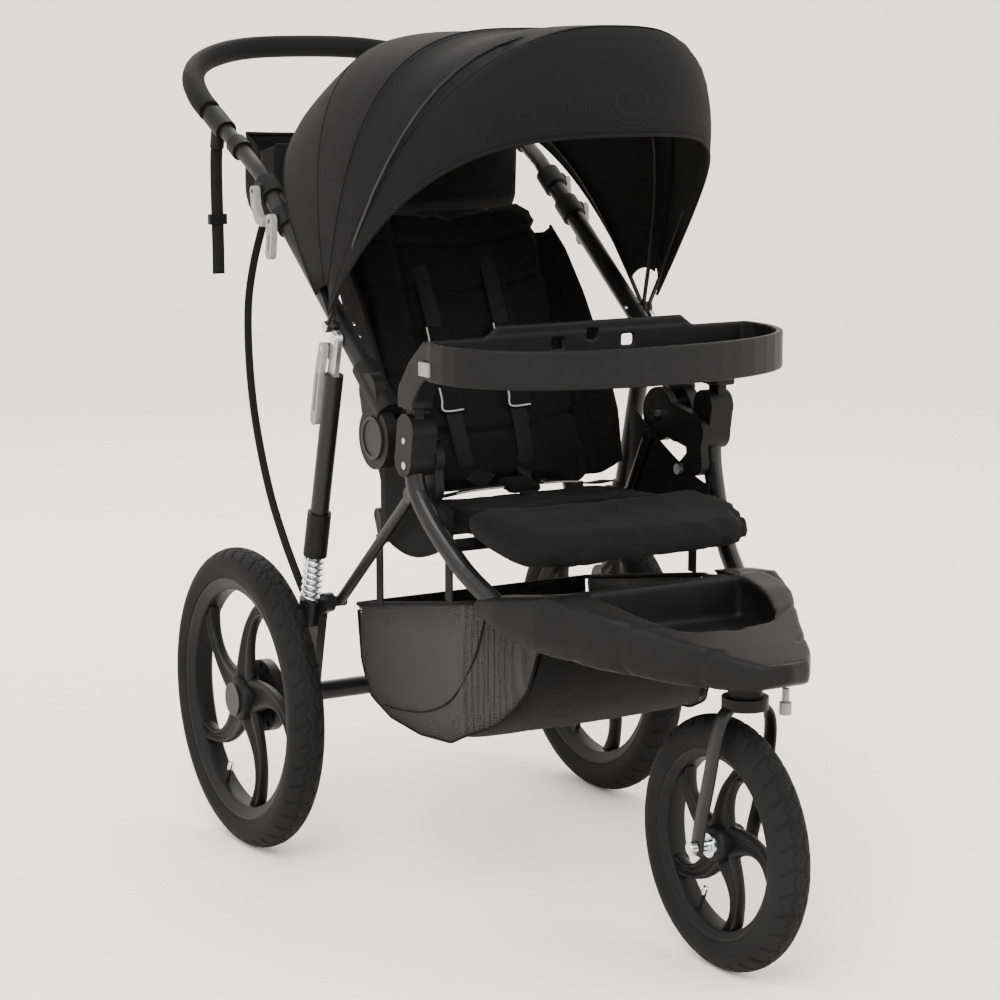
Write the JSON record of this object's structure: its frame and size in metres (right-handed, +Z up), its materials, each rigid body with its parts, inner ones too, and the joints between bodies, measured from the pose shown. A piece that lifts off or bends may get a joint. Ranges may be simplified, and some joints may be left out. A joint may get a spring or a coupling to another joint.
{
  "type": "jogging stroller",
  "caption": "Folding child stroller with large rear wheels, a swivelling front wheel, reclining padded seat, hooded canopy, child tray, storage basket and adjustable handle.",
  "frame": {"origin": "centre of the bounding box's bottom face, on the floor under the stroller", "axes": "+Y towards the handle and the rear, the stroller's nose at -Y, +X to the stroller's left side as its rider sits, +Z up"},
  "size_m": [0.5968, 1.2638, 1.0785],
  "materials": {
    "frame_paint": "satin black",
    "black_plastic": "fine grained",
    "cap_plastic": "semi gloss",
    "grey_plastic": "satin light grey",
    "bright_steel": "polished",
    "satin_alloy": "satin",
    "black_fabric": "woven polyester",
    "mesh_fabric": "open mesh and woven panel",
    "webbing": "flat woven webbing",
    "tyre_rubber": "moulded tread",
    "foam": "fine foam",
    "rim_plastic": "satin dark grey"
  },
  "bodies": {
    "front_chassis": {"front_tubes": "frame_paint", "hinge_brackets": "black_plastic", "footrest_fairing": "black_plastic", "swivel_housing": "black_plastic", "seat_cushion": "black_fabric", "calf_rest": "black_fabric", "storage_basket": "mesh_fabric", "seat_cross_tube": "frame_paint", "basket_straps": "webbing", "frame_screws": "satin_alloy", "crotch_strap": "webbing"},
    "handle_frame": {"upper_tubes": "frame_paint", "hinge_hubs": "black_plastic", "hinge_caps": "cap_plastic", "pivot_bolts": "bright_steel", "lever_housings": "black_plastic", "canopy_rear": "black_fabric", "canopy_bows": "cap_plastic", "organiser_bag": "black_fabric", "tether_strap": "webbing"},
    "handlebar": {"handle_stems": "frame_paint", "handle_tube": "frame_paint", "foam_grip": "foam", "handle_fittings": "black_plastic", "webbing_tail": "webbing"},
    "clamp_lever_left": {"clamp_lever_left": "grey_plastic"},
    "clamp_lever_right": {"clamp_lever_right": "grey_plastic"},
    "lock_lever_left": {"lock_lever_left": "grey_plastic"},
    "lock_lever_right": {"lock_lever_right": "grey_plastic"},
    "fold_latch_left": {"fold_latch_left": "grey_plastic"},
    "fold_latch_right": {"fold_latch_right": "grey_plastic"},
    "swivel_lock": {"swivel_lock": "grey_plastic"},
    "brake_pedal": {"brake_pedal": "black_plastic"},
    "rear_links": {"rear_links": "frame_paint"},
    "tray_button_left": {"tray_button_left": "grey_plastic"},
    "tray_button_right": {"tray_button_right": "grey_plastic"},
    "rear_frame": {"leg_tubes": "frame_paint", "leg_brackets": "satin_alloy", "leg_sleeves": "black_plastic", "coil_springs": "bright_steel"},
    "rear_axle": {"leg_rods": "bright_steel", "rear_axle_frame": "frame_paint", "wheel_axles": "bright_steel"},
    "rear_wheel_left": {"rear_tyre_left": "tyre_rubber", "rear_rim_left": "rim_plastic", "rear_hub_left": "cap_plastic"},
    "rear_wheel_right": {"rear_tyre_right": "tyre_rubber", "rear_rim_right": "rim_plastic", "rear_hub_right": "cap_plastic"},
    "fork": {"front_fork": "frame_paint", "front_axle": "bright_steel"},
    "front_wheel": {"front_tyre": "tyre_rubber", "front_rim": "rim_plastic", "front_hub": "bright_steel"},
    "back_carrier": {"back_hinge_bar": "frame_paint"},
    "seat_back": {"seat_back": "black_fabric", "harness": "webbing"},
    "canopy_front": {"canopy_hood": "black_fabric", "canopy_front_bow": "cap_plastic"},
    "child_tray": {"child_tray": "black_plastic"}
  },
  "joints": [
    {"name": "frame_fold", "type": "hinge", "parent": "front_chassis", "child": "handle_frame", "pos_m": [0, -0.049, 0.582], "axis": [-1, 0, 0], "range_deg": [0, 70], "deforming": ["storage_basket", "tether_strap"]},
    {"name": "rear_leg_fold", "type": "hinge", "parent": "handle_frame", "child": "rear_frame", "pos_m": [0, 0.042, 0.695], "axis": [1, 0, 0], "range_deg": [0, 26]},
    {"name": "link_fold", "type": "hinge", "parent": "front_chassis", "child": "rear_links", "pos_m": [0, -0.106, 0.518], "axis": [-1, 0, 0], "range_deg": [0, 51]},
    {"name": "seat_back_fold", "type": "hinge", "parent": "front_chassis", "child": "back_carrier", "pos_m": [0, 0.047, 0.466], "axis": [-1, 0, 0], "range_deg": [0, 54]},
    {"name": "seat_recline", "type": "hinge", "parent": "back_carrier", "child": "seat_back", "pos_m": [0, 0.047, 0.466], "axis": [1, 0, 0], "range_deg": [-20, 0]},
    {"name": "suspension", "type": "slide", "parent": "rear_frame", "child": "rear_axle", "axis": [0, -0.247, 0.969], "range_m": [0, 0.02], "stiffness_N_per_m": 12000, "springref_m": -0.012, "deforming": ["coil_springs"]},
    {"name": "wheel_spin_left", "type": "hinge", "parent": "rear_axle", "child": "rear_wheel_left", "pos_m": [0.2744, 0.232, 0.2], "axis": [1, 0, 0], "continuous": true},
    {"name": "wheel_spin_right", "type": "hinge", "parent": "rear_axle", "child": "rear_wheel_right", "pos_m": [-0.2744, 0.232, 0.2], "axis": [1, 0, 0], "continuous": true},
    {"name": "brake_pedal_press", "type": "hinge", "parent": "rear_axle", "child": "brake_pedal", "pos_m": [0, 0.162, 0.215], "axis": [-1, 0, 0], "range_deg": [0, 15]},
    {"name": "fork_swivel", "type": "hinge", "parent": "front_chassis", "child": "fork", "pos_m": [0, -0.518, 0.306], "axis": [0, 0, 1], "continuous": true},
    {"name": "front_wheel_spin", "type": "hinge", "parent": "fork", "child": "front_wheel", "pos_m": [0, -0.482, 0.15], "axis": [1, 0, 0], "continuous": true},
    {"name": "swivel_lock_push", "type": "slide", "parent": "front_chassis", "child": "swivel_lock", "axis": [0, 0, 1], "range_m": [0, 0.006]},
    {"name": "handle_height", "type": "slide", "parent": "handle_frame", "child": "handlebar", "axis": [0, 0.7965, 0.6046], "range_m": [0, 0.05]},
    {"name": "clamp_lever_left_open", "type": "hinge", "parent": "handle_frame", "child": "clamp_lever_left", "pos_m": [0.236, 0.26695, 0.86572], "axis": [1, 0, 0], "range_deg": [0, 60]},
    {"name": "lock_lever_left_open", "type": "hinge", "parent": "handle_frame", "child": "lock_lever_left", "pos_m": [0.236, 0.21916, 0.82945], "axis": [1, 0, 0], "range_deg": [0, 35]},
    {"name": "fold_latch_left_pull", "type": "hinge", "parent": "rear_frame", "child": "fold_latch_left", "pos_m": [0.239, 0.064, 0.681], "axis": [1, 0, 0], "range_deg": [0, 25], "stiffness_Nm_per_rad": 0.8, "springref_deg": -17.19},
    {"name": "clamp_lever_right_open", "type": "hinge", "parent": "handle_frame", "child": "clamp_lever_right", "pos_m": [-0.236, 0.26695, 0.86572], "axis": [1, 0, 0], "range_deg": [0, 60]},
    {"name": "lock_lever_right_open", "type": "hinge", "parent": "handle_frame", "child": "lock_lever_right", "pos_m": [-0.236, 0.21916, 0.82945], "axis": [1, 0, 0], "range_deg": [0, 35]},
    {"name": "fold_latch_right_pull", "type": "hinge", "parent": "rear_frame", "child": "fold_latch_right", "pos_m": [-0.239, 0.064, 0.681], "axis": [1, 0, 0], "range_deg": [0, 25], "stiffness_Nm_per_rad": 0.8, "springref_deg": -17.19},
    {"name": "canopy_fold", "type": "hinge", "parent": "handle_frame", "child": "canopy_front", "pos_m": [0, 0.056, 0.709], "axis": [-1, 0, 0], "range_deg": [0, 50]},
    {"name": "tray_lift", "type": "slide", "parent": "front_chassis", "child": "child_tray", "axis": [0, 0, 1], "range_m": [0, 0.045]},
    {"name": "tray_button_left_press", "type": "slide", "parent": "child_tray", "child": "tray_button_left", "axis": [-1, 0, 0], "range_m": [0, 0.0022], "stiffness_N_per_m": 400, "springref_m": -0.004},
    {"name": "tray_button_right_press", "type": "slide", "parent": "child_tray", "child": "tray_button_right", "axis": [1, 0, 0], "range_m": [0, 0.0022], "stiffness_N_per_m": 400, "springref_m": -0.004}
  ],
  "couplings": [
    {"joint": "rear_leg_fold", "follows": "frame_fold", "ratio": 0.355},
    {"joint": "link_fold", "follows": "frame_fold", "ratio": 0.72},
    {"joint": "seat_back_fold", "follows": "frame_fold", "ratio": 0.76}
  ]
}
